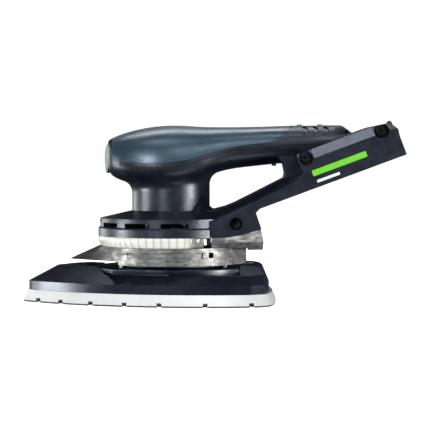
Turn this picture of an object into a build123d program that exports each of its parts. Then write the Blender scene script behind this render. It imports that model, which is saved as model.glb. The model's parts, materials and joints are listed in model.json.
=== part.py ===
"""Cordless orbital delta sander: a delta-shaped sanding pad that orbits under a brushless motor,
with a palm head, a closed grip and a battery dock. Millimetres. The origin is on the sanding face,
under the motor axis. +Z is up, -X points to the pad's tip, +X to the battery dock, and the tool is a
mirror image about the XZ plane."""

import os
from math import cos, radians, sin, tan

from build123d import *

os.makedirs("parts", exist_ok=True)

# ---- driving dimensions ---------------------------------------------------------------------------------

# sanding pad, in plan a lens of two side arcs closed by a rear arc
PAD_HALF_WIDTH = 50.0
PAD_SIDE_RADIUS = 150.0
PAD_WIDEST_X = 20.0
PAD_REAR_X = 62.3
PAD_REAR_RADIUS = 200.0
PAD_TIP_RADIUS = 10.0
PAD_CORNER_RADIUS = 14.0

HOOK_TOP = 0.9
FOAM_TOP = 7.0
PLATEN_RIM_TOP = 12.2
PLATEN_CREST = 21.4
PLATEN_TOP = 22.3
ORBIT_FLOOR = 17.4
LIP_LOW = 18.5
ORBIT_TOP = 20.8
ORBIT_HALF_LENGTH = 49.0
ORBIT_HALF_WIDTH = 38.5
CRANK_OFFSET = 1.0  # half of the 2 mm sanding stroke

# dust hood, a round drum with a beak over the pad's tip
HOOD_RADIUS = 43.0
HOOD_RIM = 22.9
HOOD_BEAK_Z = 25.0
HOOD_ROOF = 32.9
HOOD_WALL = 1.2
HOOD_TIP_X = -60.5
HOOD_TIP_RADIUS = 1.5
HOOD_TANGENT_DEG = 43.2  # where the beak's flanks meet the drum, measured from the front
HOOD_RIM_START_DEG = 46.5  # the rim below the beak's level starts here, measured from the front
HOOD_BACK = ((34.7, 25.4), (41.2, 15.5), (44.6, 8.0))  # the drum's flat-sided back, x and half width
SEAL_RADIUS = 31.0

# latches that slide round the drum in its side slots
SLOT_LOW, SLOT_HIGH = 27.3, 30.5
SLOT_START_DEG, SLOT_END_DEG = -34.0, 36.0  # from the drum's side, towards the back
LATCH_TRAVEL_DEG = 4.2
LATCH_RADIUS = 40.8

# light ring, collar and shoulder
RING_LOW, RING_HIGH = 33.1, 38.8
RING_INNER = 38.6
RING_END_DEG = 118.0  # each way from the front
COLLAR_LOW, COLLAR_STEP, COLLAR_HIGH = 38.9, 43.9, 48.6
COLLAR_UPPER_RADIUS = 42.1
COLLAR_INNER = 40.4
COLLAR_END_DEG = 122.4
VENT_LOW, VENT_HIGH = 44.4, 47.1
VENT_DEG = 22.0
VENT_ANGLES = (0.0, 33.0, 63.6, 94.2)  # from the front, on both sides
VENT_DIRECTIONS = [180 + a for a in VENT_ANGLES] + [180 - a for a in VENT_ANGLES[1:]]
SHOULDER_RADIUS = 41.8
NECK_RADIUS = 23.0
NECK_FLARE = 7.2  # the round where the neck runs out into the head
NECK_FOOT = 53.8
NECK_BORE = 20.5
WALL = 2.5

# arm and battery dock
ARM_HALF_WIDTH = 34.0
DOCK_SLOPE_DEG = 20.35
DOCK_HEEL = (51.8, 55.5)  # x, z where the dock's underside starts
DOCK_LENGTH = 89.6
DOCK_RECESS_HALF = 28.0
RAIL_GAP_HALF = 25.4
RAIL_THICKNESS = 3.4
RECESS_START = 33.0  # along the dock's underside, from its heel
RECESS_TOP = 10.4
LEAD_X = 84.0
ARM_ROOM_HALF = 22.5
SCREW_RADIUS = 1.55

# palm head and handle: x, half width, bottom, widest height, top
HEAD_STATIONS = (
    (-36.8, 13.6, 75.7, 84.6, 94.8),
    (-34.6, 18.0, 74.2, 83.6, 96.4),
    (-30.0, 22.0, 71.7, 82.4, 98.4),
    (-20.0, 26.4, 69.4, 80.8, 101.3),
    (-8.0, 28.8, 68.0, 79.8, 103.3),
    (5.0, 28.4, 68.4, 80.0, 103.8),
    (18.0, 25.4, 72.2, 83.2, 103.1),
    (30.0, 22.0, 76.8, 87.2, 102.9),
    (45.0, 19.6, 79.4, 90.0, 103.0),
    (60.0, 18.8, 81.0, 91.4, 103.4),
    (76.0, 19.0, 82.0, 92.2, 103.9),
    (92.0, 18.6, 84.0, 93.4, 104.0),
    (108.0, 16.4, 88.0, 95.0, 104.0),
)
HANDLE_END = ((100.2, 104.0), (106.4, 98.9))
SEAM = (
    (-40, 81.6), (-24, 80.2), (-12, 79.7), (0, 79.6), (10, 80.8),
    (20, 83.8), (34, 88.4), (50, 90.5), (70, 92.0), (112, 93.0),
)
SEAM_GAP, SEAM_DEPTH = 0.4, 0.9  # the groove that shows where cover and housing meet
GRIP_EDGE = (
    (-34.2, 84.0), (-32, 82.6), (-24, 81.8), (-12, 81.4), (0, 81.8),
    (12, 83.8), (29, 88.9), (44, 91.9), (57, 93.2),
)
GRIP_DEPTH = 1.3

BOARD_LOW, BOARD_HIGH = 87.6, 89.2

# motor and its line of parts on the axis
SHAFT_RADIUS = 4.0
PLATE_LOW, PLATE_HIGH = 34.8, 38.2
BEARING_LOW, BEARING_HIGH = 37.0, 44.0
STATOR_LOW, STATOR_HIGH = 56.0, 76.0
CLEAR = 0.05  # running clearance, radial

SCREW_ANGLES = (70.0, 110.0, 250.0, 290.0)
SCREW_CIRCLE = 31.0
POST_CIRCLE = 26.0
POST_RADIUS = 3.5

BUTTON = (74.4, 90.0, 6.5)  # x from, x to, half width
RIDGE_LONG, RIDGE_TOP = 2.8, 104.6  # a raised ridge across each end of the button
DIAL_AT, DIAL_RADIUS = (98.4, -10.9), 4.6
DIAL_LOW, DIAL_HIGH = 98.9, 100.9
GROOVE_X = (77.6, 83.6, 89.6)

SIDE_SCREWS = ((38.1, 46.8, 3.5), (78.2, 84.6, 4.1), (121.4, 100.2, 4.3))  # x, z, pocket radius


def save(part, name):
    part.label = name
    export_step(part, f"parts/{name}.step")


def polar(radius, degrees):
    return radius * cos(radians(degrees)), radius * sin(radians(degrees))


# ---- shared outlines ------------------------------------------------------------------------------------


def delta_face(z, inset, tip_radius, corner, rear_inset=None, faceted=False):
    """The pad's outline, moved in by inset, at a height. Its rear corners are round, or cut off flat."""
    rear_inset = inset if rear_inset is None else rear_inset
    side_centre = PAD_SIDE_RADIUS - PAD_HALF_WIDTH
    with BuildSketch(Plane.XY.offset(z)) as outline:
        with Locations((PAD_WIDEST_X, side_centre)):
            Circle(PAD_SIDE_RADIUS - inset)
        with Locations((PAD_WIDEST_X, -side_centre)):
            Circle(PAD_SIDE_RADIUS - inset, mode=Mode.INTERSECT)
        with Locations((PAD_REAR_X - PAD_REAR_RADIUS, 0)):
            Circle(PAD_REAR_RADIUS - rear_inset, mode=Mode.INTERSECT)
        corners = outline.vertices().sort_by(Axis.X)[-2:]
        if faceted:
            chamfer(corners, corner)
        else:
            fillet(corners, corner)
        fillet(outline.vertices().sort_by(Axis.X)[0], tip_radius)
    return outline.sketch


def teardrop_face(z, inset):
    """The dust hood's outline: the drum with two flat flanks that run to a small round tip."""
    radius = HOOD_RADIUS - inset
    tip_radius = HOOD_TIP_RADIUS
    tip_x = HOOD_TIP_X + inset * 1.5
    flank = 180 - HOOD_TANGENT_DEG
    tip = [(tip_x + tip_radius + x, y) for x, y in (polar(tip_radius, flank), polar(tip_radius, -flank))]
    drum = [polar(radius, flank), polar(radius, -flank)]
    with BuildSketch(Plane.XY.offset(z)) as outline:
        with BuildLine():
            ThreePointArc(tip[0], (tip_x, 0), tip[1])
            Line(tip[1], drum[1])
            ThreePointArc(drum[1], (radius, 0), drum[0])
            Line(drum[0], tip[0])
        make_face()
    return outline.sketch


def split_circle_face(z, inset):
    """A circle cut where the teardrop's outline is cut, so that the two loft cleanly."""
    radius = HOOD_RADIUS - inset
    flank, front = 180 - HOOD_TANGENT_DEG, 178
    with BuildSketch(Plane.XY.offset(z)) as outline:
        with BuildLine():
            ThreePointArc(polar(radius, front), (-radius, 0), polar(radius, -front))
            ThreePointArc(polar(radius, -front), polar(radius, -(front + flank) / 2), polar(radius, -flank))
            ThreePointArc(polar(radius, -flank), (radius, 0), polar(radius, flank))
            ThreePointArc(polar(radius, flank), polar(radius, (front + flank) / 2), polar(radius, front))
        make_face()
    return outline.sketch


def head_face(station, inset):
    """One cross-section of the palm head and handle, widest at the seam, moved in by inset."""
    x, half, low, seam, high = station
    half, low, high = half - inset, low + inset, high - inset
    full = 0.72  # how square the quarter curves are; 0.55 is an ellipse
    with BuildSketch(Plane.YZ.offset(x)) as section:
        with BuildLine():
            for side in (1, -1):
                for end in (high, low):
                    rise = seam + (end - seam) * full
                    Bezier((side * half, seam), (side * half, rise), (side * half * full, end), (0, end))
        make_face()
    return section.sketch


def head_body(inset, front_trim=0.0, rear_trim=0.0):
    """The palm head and handle as one solid, moved in by inset."""
    stations = [list(s) for s in HEAD_STATIONS]
    stations[0][0] += front_trim
    stations[1][0] += front_trim / 2
    stations[-1][0] -= rear_trim
    with BuildPart() as body:
        loft(sections=[head_face(s, inset) for s in stations])
    return body.part


def side_slab(points, half_width):
    """A closed outline in the XZ plane, as a slab across the tool."""
    with BuildPart() as slab:
        with BuildSketch(Plane.XZ):
            with BuildLine():
                Polyline(*points, close=True)
            make_face()
        extrude(amount=half_width, both=True)
    return slab.part


def box_between(low, high):
    """A box given by two opposite corners."""
    size = [b - a for a, b in zip(low, high)]
    middle = [(a + b) / 2 for a, b in zip(low, high)]
    with BuildPart() as made:
        with Locations(tuple(middle)):
            Box(*size)
    return made.part


def above_curve(points, ceiling, half_width):
    """Everything above a smooth curve in the XZ plane."""
    with BuildPart() as region:
        with BuildSketch(Plane.XZ):
            with BuildLine():
                curve = Spline(*points)
                Polyline(curve @ 1, (points[-1][0], ceiling), (points[0][0], ceiling), curve @ 0)
            make_face()
        extrude(amount=half_width, both=True)
    return region.part


# ---- sanding pad ----------------------------------------------------------------------------------------

CHANNEL_X = (-77.5, -63.4, -45.3, -25.5, -5.6, 20.5, 46.8)
CHANNEL_WIDTH, CHANNEL_TOP, CHANNEL_REACH = 2.7, 2.5, 6.0
DUST_HOLES = ((-58, 0), (-36, 16), (-36, -16), (-6, 33), (-6, -33), (34, 31), (34, -31), (48, 0))
PAD_SCREWS = ((31.0, 11.5), (31.0, -11.5), (-31.0, 11.5), (-31.0, -11.5))
ACCESS_RADIUS = 4.6


def channel_face(z):
    """Short dust channels that run in from both edges."""
    with BuildSketch(Plane.XY.offset(z)) as channels:
        for x in CHANNEL_X:
            edge = (PAD_SIDE_RADIUS**2 - (x - PAD_WIDEST_X) ** 2) ** 0.5 - (PAD_SIDE_RADIUS - PAD_HALF_WIDTH)
            for side in (1, -1):
                with Locations((x, side * (edge - CHANNEL_REACH + 10))):
                    Rectangle(CHANNEL_WIDTH, 20)
    return channels.sketch


with BuildPart() as hook_layer:
    extrude(delta_face(0, 0.25, PAD_TIP_RADIUS, PAD_CORNER_RADIUS), amount=HOOK_TOP)
    extrude(channel_face(0), amount=HOOK_TOP, mode=Mode.SUBTRACT)
    with BuildSketch():
        with Locations(*[(x + CRANK_OFFSET, y) for x, y in DUST_HOLES]):
            Circle(4.0)
        with Locations(*[(x + CRANK_OFFSET, y) for x, y in PAD_SCREWS]):
            Circle(ACCESS_RADIUS)
    extrude(amount=HOOK_TOP, mode=Mode.SUBTRACT)
save(hook_layer.part, "hook_layer")

with BuildPart() as pad_foam:
    loft(
        sections=[
            delta_face(HOOK_TOP, 0.0, PAD_TIP_RADIUS, PAD_CORNER_RADIUS),
            delta_face(FOAM_TOP, 2.3, PAD_TIP_RADIUS - 1.5, PAD_CORNER_RADIUS - 1.5),
        ],
        ruled=True,
    )
    extrude(channel_face(HOOK_TOP), amount=CHANNEL_TOP - HOOK_TOP, mode=Mode.SUBTRACT)
    with BuildSketch(Plane.XY.offset(HOOK_TOP)):
        with Locations(*[(x + CRANK_OFFSET, y) for x, y in DUST_HOLES]):
            Circle(4.0)
        with Locations(*[(x + CRANK_OFFSET, y) for x, y in PAD_SCREWS]):
            Circle(ACCESS_RADIUS)
    extrude(amount=FOAM_TOP - HOOK_TOP, mode=Mode.SUBTRACT)
save(pad_foam.part, "pad_foam")


def lip_face(margin):
    """The raised lip's outline: round at the back, blunt in front."""
    with BuildSketch() as outline:
        Ellipse(ORBIT_HALF_LENGTH + margin, ORBIT_HALF_WIDTH + margin)
        with BuildLine():
            nose, corner = -46.5 - margin, (-32.5 - margin, 35.6 + margin)
            Polyline(
                (nose, -11), (corner[0], -corner[1]), (0, -38), (0, 38), corner, (nose, 11), close=True,
            )
        make_face()
    return outline.sketch


# the platen is a hard shell: rim, sloping flanks, a pocket on top for the orbit plate and a dust plenum below
PLENUM_TOP = 9.6
BOSS_RADIUS = 16.5
PLATEN_OUTLINES = (  # height, inset, tip radius, corner cut, inset at the rear
    (FOAM_TOP, 3.0, 8.0, 7.0, 4.2),
    (PLATEN_RIM_TOP, 3.0, 8.0, 7.0, 4.2),
    (PLATEN_CREST, 14.0, 9.0, 7.0, 8.0),
    (PLATEN_TOP, 19.2, 9.0, 7.0, 12.0),
)
with BuildPart() as pad_plate:
    for (low, *lower), (high, *upper) in zip(PLATEN_OUTLINES, PLATEN_OUTLINES[1:]):
        outlines = [delta_face(low, *lower, faceted=True), delta_face(high, *upper, faceted=True)]
        loft(sections=outlines, ruled=True)
    # the pocket for the orbit plate, open to both sides
    with BuildSketch(Plane.XY.offset(ORBIT_FLOOR)):
        add(lip_face(0.6))
    extrude(amount=10, mode=Mode.SUBTRACT)
    for side in (1, -1):
        with BuildSketch(Plane.XY.offset(ORBIT_FLOOR)):
            with BuildLine():
                corners = ((-36, 26), (-30, 50), (80, 50), (80, 30), (38, 22))
                Polyline(*[(x, side * y) for x, y in corners], close=True)
            make_face()
        extrude(amount=10, mode=Mode.SUBTRACT)
    extrude(delta_face(FOAM_TOP, 16.0, 6.0, 8.0), amount=PLENUM_TOP - FOAM_TOP, mode=Mode.SUBTRACT)
    with BuildSketch(Plane.XY.offset(FOAM_TOP)):
        with Locations((CRANK_OFFSET, 0)):
            Circle(BOSS_RADIUS + 0.3)
    extrude(amount=12, mode=Mode.SUBTRACT)
    with BuildSketch(Plane.XY.offset(FOAM_TOP)):
        with Locations((CRANK_OFFSET, 0)):
            with PolarLocations(24.5, 4):
                SlotOverall(11, 7, rotation=90)
    extrude(amount=12, mode=Mode.SUBTRACT)
    # bosses for the four pad screws stand in the plenum
    with BuildSketch(Plane.XY.offset(FOAM_TOP)):
        with Locations(*[(x + CRANK_OFFSET, y) for x, y in PAD_SCREWS]):
            Circle(6.2)
    extrude(amount=PLENUM_TOP - FOAM_TOP)
    with BuildSketch(Plane.XY.offset(FOAM_TOP)):
        with Locations(*[(x + CRANK_OFFSET, y) for x, y in PAD_SCREWS]):
            Circle(4.1)
    extrude(amount=3.2, mode=Mode.SUBTRACT)
    with BuildSketch(Plane.XY.offset(FOAM_TOP)):
        with Locations(*[(x + CRANK_OFFSET, y) for x, y in PAD_SCREWS]):
            Circle(2.2)
    extrude(amount=12, mode=Mode.SUBTRACT)
save(pad_plate.part, "pad_plate")

PAD_BEARING_LOW, PAD_BEARING_HIGH = 10.6, 18.6
PIN_RADIUS = 5.0
BEARING_OUTER = 13.0
with BuildPart() as orbit_plate:
    with BuildSketch(Plane.XY.offset(LIP_LOW)):
        add(lip_face(0))
    extrude(amount=ORBIT_TOP - LIP_LOW)
    fillet(orbit_plate.edges().group_by(Axis.Z)[-1], 0.7)
    with BuildSketch(Plane.XY.offset(ORBIT_FLOOR)):
        add(lip_face(-2.0))
    extrude(amount=LIP_LOW - ORBIT_FLOOR)
    with BuildSketch(Plane.XY.offset(9.6)):
        with Locations((CRANK_OFFSET, 0)):
            Circle(BOSS_RADIUS)
    extrude(amount=ORBIT_FLOOR - 9.6)
    with BuildSketch(Plane.XY.offset(9.6)):
        with Locations((CRANK_OFFSET, 0)):
            Circle(BEARING_OUTER)
    extrude(amount=PAD_BEARING_HIGH - 9.6, mode=Mode.SUBTRACT)
    with BuildSketch(Plane.XY.offset(9.6)):
        with Locations((CRANK_OFFSET, 0)):
            Circle(10.0)
    extrude(amount=12, mode=Mode.SUBTRACT)
    with BuildSketch(Plane.XY.offset(ORBIT_FLOOR)):
        with Locations((CRANK_OFFSET, 0)):
            with PolarLocations(24.5, 4):
                SlotOverall(11, 7, rotation=90)
    extrude(amount=5, mode=Mode.SUBTRACT)
    with BuildSketch(Plane.XY.offset(ORBIT_FLOOR + 1.2)):
        with Locations((CRANK_OFFSET, 0)):
            with PolarLocations(POST_CIRCLE, 4, start_angle=45):
                Circle(POST_RADIUS + 2.0)
    extrude(amount=5, mode=Mode.SUBTRACT)
    with BuildSketch(Plane.XY.offset(ORBIT_FLOOR)):
        with Locations(*[(x + CRANK_OFFSET, y) for x, y in PAD_SCREWS]):
            Circle(2.0)
    extrude(amount=2.4, mode=Mode.SUBTRACT)
save(orbit_plate.part, "orbit_plate")


def ring(low, high, inner, outer, x=0.0):
    """A plain ring about an axis parallel to the motor's."""
    with BuildPart() as made:
        with BuildSketch(Plane.XY.offset(low)):
            with Locations((x, 0)):
                Circle(outer)
                if inner:
                    Circle(inner, mode=Mode.SUBTRACT)
        extrude(amount=high - low)
    return made.part


def ball_bearing(low, high, inner, outer, x=0.0):
    """A sealed bearing: two races joined by a slightly recessed shield, with a groove on each face."""
    race = (outer - inner) * 0.26
    with BuildPart() as made:
        with BuildSketch(Plane.XY.offset(low)):
            with Locations((x, 0)):
                Circle(outer)
                Circle(inner, mode=Mode.SUBTRACT)
        extrude(amount=high - low)
        for z in (low, high - 0.5):
            with BuildSketch(Plane.XY.offset(z)):
                with Locations((x, 0)):
                    Circle(outer - race)
                    Circle(inner + race, mode=Mode.SUBTRACT)
            extrude(amount=0.5, mode=Mode.SUBTRACT)
    return made.part


press = BEARING_OUTER - 0.02
pad_bearing = ball_bearing(PAD_BEARING_LOW, PAD_BEARING_HIGH - 0.1, PIN_RADIUS + CLEAR, press, CRANK_OFFSET)
save(pad_bearing, "pad_bearing")
save(ring(9.7, PAD_BEARING_LOW, 10.8, press, CRANK_OFFSET), "bearing_retainer")

with BuildPart() as pad_screws:
    with BuildSketch(Plane.XY.offset(FOAM_TOP + 1.0)):
        with Locations(*[(x + CRANK_OFFSET, y) for x, y in PAD_SCREWS]):
            Circle(3.8)
            RegularPolygon(1.8, 6, mode=Mode.SUBTRACT)
    extrude(amount=1.2)
    with BuildSketch(Plane.XY.offset(FOAM_TOP + 2.2)):
        with Locations(*[(x + CRANK_OFFSET, y) for x, y in PAD_SCREWS]):
            Circle(3.8)
    extrude(amount=1.0)
    with BuildSketch(Plane.XY.offset(FOAM_TOP + 3.2)):
        with Locations(*[(x + CRANK_OFFSET, y) for x, y in PAD_SCREWS]):
            Circle(1.95)
    extrude(amount=9.4)
save(pad_screws.part, "pad_screws")

# ---- rotor: shaft, crank, fans and magnets --------------------------------------------------------------

SHAFT_LOW, SHAFT_HIGH = 24.4, 92.0
WEB_LOW, WEB_HIGH = 21.4, 24.4
with BuildPart() as motor_shaft:
    with BuildSketch(Plane.XY.offset(SHAFT_LOW)):
        Circle(SHAFT_RADIUS)
    extrude(amount=84.9 - SHAFT_LOW)
    with BuildSketch(Plane.XY.offset(84.9)):
        Circle(3.5)
    extrude(amount=SHAFT_HIGH - 84.9)
    chamfer(motor_shaft.edges().group_by(Axis.Z)[-1], 0.5)
save(motor_shaft.part, "motor_shaft")

with BuildPart() as crank:
    with BuildSketch(Plane.XY.offset(WEB_LOW)):
        Circle(9.0)
        with BuildLine():
            CenterArc((0, 0), 19.5, 110, 140)
            Line(polar(19.5, 250), (0, 0))
            Line((0, 0), polar(19.5, 110))
        make_face()
    extrude(amount=WEB_HIGH - WEB_LOW)
    with BuildSketch(Plane.XY.offset(PAD_BEARING_LOW + 0.2)):
        with Locations((CRANK_OFFSET, 0)):
            Circle(PIN_RADIUS)
    extrude(amount=WEB_LOW - PAD_BEARING_LOW - 0.2)
    with BuildSketch(Plane.XY.offset(PAD_BEARING_LOW + 0.2)):
        with Locations((CRANK_OFFSET, 0)):
            Circle(2.5)
    extrude(amount=9, mode=Mode.SUBTRACT)
save(crank.part, "crank")

with BuildPart() as crank_bolt:
    with BuildSketch(Plane.XY.offset(7.6)):
        with Locations((CRANK_OFFSET, 0)):
            Circle(4.4)
            RegularPolygon(2.3, 6, mode=Mode.SUBTRACT)
    extrude(amount=1.4)
    with BuildSketch(Plane.XY.offset(9.0)):
        with Locations((CRANK_OFFSET, 0)):
            Circle(4.4)
    extrude(amount=0.9)
    with BuildSketch(Plane.XY.offset(9.9)):
        with Locations((CRANK_OFFSET, 0)):
            Circle(2.45)
    extrude(amount=9.5)
save(crank_bolt.part, "crank_bolt")
save(ring(9.9, PAD_BEARING_LOW - 0.1, 2.5, 7.4, CRANK_OFFSET), "bolt_washer")

with BuildPart() as dust_fan:
    with BuildSketch(Plane.XY.offset(30.0)):
        Circle(21.5)
    extrude(amount=1.2)
    with BuildSketch(Plane.XY.offset(24.6)):
        Circle(7.5)
    extrude(amount=5.4)
    with BuildSketch(Plane.XY.offset(25.0)):
        with PolarLocations(13.6, 9):
            Rectangle(14.8, 1.2, rotation=18)
    extrude(amount=5.0)
    with BuildSketch(Plane.XY.offset(24.0)):
        Circle(SHAFT_RADIUS)
    extrude(amount=10, mode=Mode.SUBTRACT)
save(dust_fan.part, "dust_fan")

with BuildPart() as cooling_fan:
    with BuildSketch(Plane.XY.offset(46.4)):
        Circle(25.5)
    extrude(amount=1.2)
    with BuildSketch(Plane.XY.offset(47.6)):
        Circle(7.5)
    extrude(amount=5.0)
    with BuildSketch(Plane.XY.offset(42.6)):
        with PolarLocations(20.5, 15):
            Rectangle(9.4, 1.1, rotation=-24)
    extrude(amount=3.8)
    with BuildSketch(Plane.XY.offset(42.0)):
        Circle(SHAFT_RADIUS)
    extrude(amount=14, mode=Mode.SUBTRACT)
save(cooling_fan.part, "cooling_fan")

save(ring(STATOR_LOW - 1, STATOR_HIGH + 1, SHAFT_RADIUS, 10.2), "rotor_core")

# ---- stator and its frame -------------------------------------------------------------------------------

with BuildPart() as stator_core:
    with BuildSketch(Plane.XY.offset(STATOR_LOW)):
        Circle(NECK_BORE - 0.1)
        Circle(16.6, mode=Mode.SUBTRACT)
        with PolarLocations(13.9, 6):
            Rectangle(5.6, 4.2)
        with PolarLocations(11.6, 6):
            Rectangle(1.2, 9.0)
        Circle(10.8, mode=Mode.SUBTRACT)
    extrude(amount=STATOR_HIGH - STATOR_LOW)
save(stator_core.part, "stator_core")

with BuildPart() as stator_coils:
    with BuildSketch(Plane.XY.offset(STATOR_LOW - 2)):
        with PolarLocations(14.3, 6):
            RectangleRounded(3.6, 9.2, 1.0)
    extrude(amount=STATOR_HIGH - STATOR_LOW + 4)
    with BuildSketch(Plane.XY.offset(STATOR_LOW)):
        with PolarLocations(14.3, 6):
            Rectangle(3.8, 4.4)
    extrude(amount=STATOR_HIGH - STATOR_LOW, mode=Mode.SUBTRACT)
save(stator_coils.part, "stator_coils")

with BuildPart() as motor_plate:
    with BuildSketch(Plane.XY.offset(PLATE_LOW)):
        Circle(RING_INNER - 0.2)
        with PolarLocations(21.0, 6, start_angle=30):
            Circle(4.6, mode=Mode.SUBTRACT)
        with Locations(*[polar(SCREW_CIRCLE, a) for a in SCREW_ANGLES]):
            Circle(2.1, mode=Mode.SUBTRACT)
    extrude(amount=PLATE_HIGH - PLATE_LOW)
    with BuildSketch(Plane.XY.offset(HOOD_ROOF)):
        with Locations(*[polar(SCREW_CIRCLE, a) for a in SCREW_ANGLES]):
            Circle(3.4)
            Circle(2.1, mode=Mode.SUBTRACT)
    extrude(amount=PLATE_LOW - HOOD_ROOF)
    # cut away at the back, where the dust port runs
    add(box_between((23.6, -40, 30), (60, 40, 50)), mode=Mode.SUBTRACT)
    with BuildSketch(Plane.XY.offset(PLATE_LOW)):
        Circle(14.0)
    extrude(amount=BEARING_HIGH + 0.4 - PLATE_LOW)
    with BuildSketch(Plane.XY.offset(PLATE_LOW)):
        Circle(8.0)
    extrude(amount=12, mode=Mode.SUBTRACT)
    with BuildSketch(Plane.XY.offset(BEARING_LOW)):
        Circle(11.0)
    extrude(amount=12, mode=Mode.SUBTRACT)
save(motor_plate.part, "motor_plate")
save(ball_bearing(BEARING_LOW, BEARING_HIGH, SHAFT_RADIUS + CLEAR, 10.98), "lower_bearing")
save(ball_bearing(85.0, 91.0, 3.5 + CLEAR, 9.48), "upper_bearing")

with BuildPart() as motor_cap:
    with BuildSketch(Plane.XY.offset(79.4)):
        Circle(NECK_BORE - 0.02)
        with PolarLocations(14.6, 6):
            Circle(2.8, mode=Mode.SUBTRACT)
    extrude(amount=2.2)
    with BuildSketch(Plane.XY.offset(81.6)):
        Circle(12.0)
    extrude(amount=10.6)
    with BuildSketch(Plane.XY.offset(79.4)):
        Circle(7.0)
    extrude(amount=20, mode=Mode.SUBTRACT)
    with BuildSketch(Plane.XY.offset(85.0)):
        Circle(9.5)
    extrude(amount=20, mode=Mode.SUBTRACT)
save(motor_cap.part, "motor_cap")
save(ring(78.2, 79.4, 8.0, 19.4), "sensor_board")

# ---- dust hood, port, seal, posts and latches -----------------------------------------------------------


def arc_sector(radius, start, end):
    """A pie slice about the motor axis, as points to cut with. Angles are from +X."""
    steps = max(2, int(abs(end - start) / 30) + 1)
    return [(0, 0)] + [polar(radius, start + (end - start) * i / steps) for i in range(steps + 1)]


def sector_prism(low, high, radius, start, end):
    with BuildPart() as made:
        with BuildSketch(Plane.XY.offset(low)):
            with BuildLine():
                Polyline(*arc_sector(radius, start, end), close=True)
            make_face()
        extrude(amount=high - low)
    return made.part


def hood_slot_sector(side, low, high, start, end):
    """The same slice on either side of the drum. Angles run from the drum's side towards the back."""
    first, last = (-90 + start, -90 + end) if side < 0 else (90 - end, 90 - start)
    return sector_prism(low, high, HOOD_RADIUS * 1.6, first, last)


DUCT_BOX = (25.5, 38.0, 17.0)  # x from, x to, half width of the hole in the roof
with BuildPart() as dust_hood:
    with BuildSketch(Plane.XY.offset(HOOD_RIM)):
        Circle(HOOD_RADIUS)
        with BuildLine():
            far_side = [(x, -y) for x, y in reversed(HOOD_BACK)]
            Polyline((0, 25), *HOOD_BACK, *far_side, (0, -25), close=True)
        make_face()
    extrude(amount=HOOD_ROOF - HOOD_RIM)
    loft(sections=[teardrop_face(HOOD_BEAK_Z, 0), split_circle_face(HOOD_ROOF, 0)], ruled=True)
    loft(
        sections=[
            teardrop_face(HOOD_BEAK_Z + 1, HOOD_WALL * 1.6),
            split_circle_face(HOOD_ROOF - HOOD_WALL, HOOD_WALL),
        ],
        ruled=True,
        mode=Mode.SUBTRACT,
    )
    with BuildSketch(Plane.XY.offset(HOOD_RIM)):
        Circle(HOOD_RADIUS - HOOD_WALL)
    extrude(amount=HOOD_BEAK_Z + 1 - HOOD_RIM, mode=Mode.SUBTRACT)
    with BuildSketch(Plane.XY.offset(HOOD_BEAK_Z)):
        Circle(HOOD_RADIUS - HOOD_WALL / 2)
        Circle(SEAL_RADIUS, mode=Mode.SUBTRACT)
    extrude(amount=1.0)
    with BuildSketch(Plane.XY.offset(HOOD_ROOF - 2)):
        Circle(12.0)
        with PolarLocations(POST_CIRCLE, 4, start_angle=45):
            Circle(POST_RADIUS + 0.4)
        with Locations(*[polar(SCREW_CIRCLE, a) for a in SCREW_ANGLES]):
            Circle(2.1)
        with Locations(((DUCT_BOX[0] + DUCT_BOX[1]) / 2, 0)):
            Rectangle(DUCT_BOX[1] - DUCT_BOX[0], 2 * DUCT_BOX[2])
    extrude(amount=4, mode=Mode.SUBTRACT)
    # lugs under the rim
    for angle in (41, 131, 229, 319):
        with BuildSketch(Plane.XY.offset(HOOD_RIM - 1.3)):
            with Locations(polar(HOOD_RADIUS - HOOD_WALL / 2, angle)):
                Rectangle(HOOD_WALL * 0.96, 1.7, rotation=angle)
        extrude(amount=2.0)
    front = (180 - HOOD_RIM_START_DEG, 180 + HOOD_RIM_START_DEG)
    add(sector_prism(HOOD_RIM - 3, HOOD_BEAK_Z, 90, *front), mode=Mode.SUBTRACT)
    for side in (-1, 1):
        slot = hood_slot_sector(side, SLOT_LOW, SLOT_HIGH, SLOT_START_DEG, SLOT_END_DEG)
        add(slot - ring(20, 40, 0, LATCH_RADIUS - 0.3), mode=Mode.SUBTRACT)
save(dust_hood.part, "dust_hood")

LATCH_END_DEG = SLOT_END_DEG - LATCH_TRAVEL_DEG - 0.5
for side, name in ((-1, "hood_latch_left"), (1, "hood_latch_right")):
    face = ring(SLOT_LOW + 0.2, SLOT_HIGH - 0.2, LATCH_RADIUS, HOOD_RADIUS - 0.35)
    face = face & hood_slot_sector(side, SLOT_LOW, SLOT_HIGH, SLOT_START_DEG + 0.5, LATCH_END_DEG)
    back = ring(SLOT_LOW - 0.9, SLOT_HIGH + 0.7, LATCH_RADIUS - 1.0, LATCH_RADIUS)
    back = back & hood_slot_sector(side, 20, 35, SLOT_START_DEG + 1.5, LATCH_END_DEG + 2.0)
    thumb = ring(SLOT_LOW + 0.3, SLOT_HIGH - 0.3, HOOD_RADIUS - 1.0, HOOD_RADIUS + 0.5)
    thumb = thumb & hood_slot_sector(side, 20, 35, LATCH_END_DEG - 5.0, LATCH_END_DEG)
    save(face + back + thumb, name)

with BuildPart() as dust_seal:
    with BuildSketch(Plane.XY.offset(ORBIT_TOP + 0.5)):
        Circle(SEAL_RADIUS - 0.1)
        Circle(SEAL_RADIUS - 1.3, mode=Mode.SUBTRACT)
    extrude(amount=HOOD_BEAK_Z + 1 - ORBIT_TOP - 0.5)
    with BuildSketch(Plane.XY.offset(HOOD_BEAK_Z - 1.6)):
        Circle(SEAL_RADIUS + 2.2)
        Circle(SEAL_RADIUS - 1.0, mode=Mode.SUBTRACT)
    extrude(amount=1.6)
save(dust_seal.part, "dust_seal")

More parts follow.
